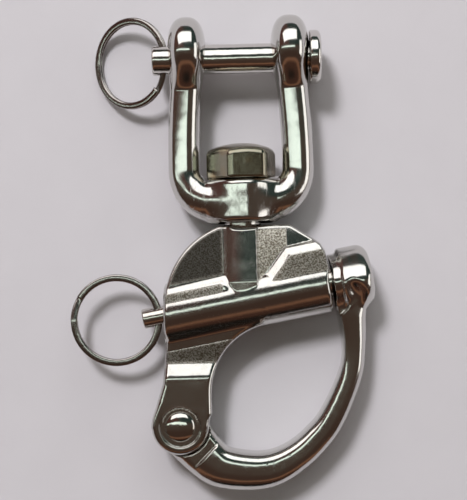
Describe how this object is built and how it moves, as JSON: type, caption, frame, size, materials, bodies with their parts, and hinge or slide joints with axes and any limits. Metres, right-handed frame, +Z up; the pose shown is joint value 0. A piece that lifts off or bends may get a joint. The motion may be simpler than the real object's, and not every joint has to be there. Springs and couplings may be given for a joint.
{
  "type": "swivel snap shackle",
  "caption": "Jaw swivel snap shackle: a fork with a clevis pin and split ring turns on a body whose spring plunger, pulled by a ring, locks a hinged bail.",
  "frame": {"origin": "centre of the clevis pin, on the swivel axis", "axes": "+X along the clevis pin towards its head, +Y towards the jaw along the flat surface the shackle lies on, +Z up from that surface; the swivel axis tips 1.33 degrees from +Y, because the shackle lies on its ears and its barrel"},
  "size_m": [0.0829, 0.1299, 0.02],
  "materials": {
    "jaw_steel": "mirror-polished cast stainless steel with fine scratches at the corners",
    "body_steel": "mirror-polished cast stainless steel, grainier on the flat web",
    "bail_steel": "mirror-polished cast stainless steel",
    "pin_steel": "polished stainless steel",
    "bolt_steel": "tumbled stainless steel with rounded corners, faintly brown",
    "plunger_steel": "turned stainless steel",
    "spring_steel": "drawn stainless spring wire",
    "ring_steel": "smooth flattened stainless spring wire",
    "rivet_steel": "polished domed rivet"
  },
  "bodies": {
    "shackle": {"shackle_body": "body_steel", "swivel_bolt": "bolt_steel", "hinge_rivet": "rivet_steel", "plunger_spring": "spring_steel"},
    "fork": {"fork": "jaw_steel"},
    "clevis_pin": {"clevis_pin": "pin_steel"},
    "clevis_ring": {"clevis_ring": "ring_steel"},
    "plunger": {"plunger": "plunger_steel"},
    "plunger_ring": {"plunger_ring": "ring_steel"},
    "bail": {"bail": "bail_steel"}
  },
  "joints": [
    {"name": "fork_swivel", "type": "hinge", "parent": "shackle", "child": "fork", "pos_m": [0, 0, 0], "axis": [0, 0.9997, 0.0232], "continuous": true},
    {"name": "clevis_pin_spin", "type": "hinge", "parent": "fork", "child": "clevis_pin", "pos_m": [0, 0, 0], "axis": [1, 0, 0], "continuous": true},
    {"name": "clevis_ring_swing", "type": "hinge", "parent": "clevis_pin", "child": "clevis_ring", "pos_m": [-0.02023, 0, 0], "axis": [0, 0.9997, 0.0232], "range_deg": [-50, 100]},
    {"name": "plunger_slide", "type": "slide", "parent": "shackle", "child": "plunger", "axis": [-0.9848, -0.1736, -0.004], "range_m": [0, 0.0055], "stiffness_N_per_m": 1200, "springref_m": -0.006, "deforming": ["plunger_spring"]},
    {"name": "plunger_ring_swing", "type": "hinge", "parent": "plunger", "child": "plunger_ring", "pos_m": [-0.0236, -0.06924, -0.00161], "axis": [-0.1736, 0.9845, 0.0229], "range_deg": [-60, 60]},
    {"name": "bail_hinge", "type": "hinge", "parent": "shackle", "child": "bail", "pos_m": [-0.0182, -0.09877, -0.00229], "axis": [0, 0.0232, -0.9997], "range_deg": [0, 100]}
  ]
}
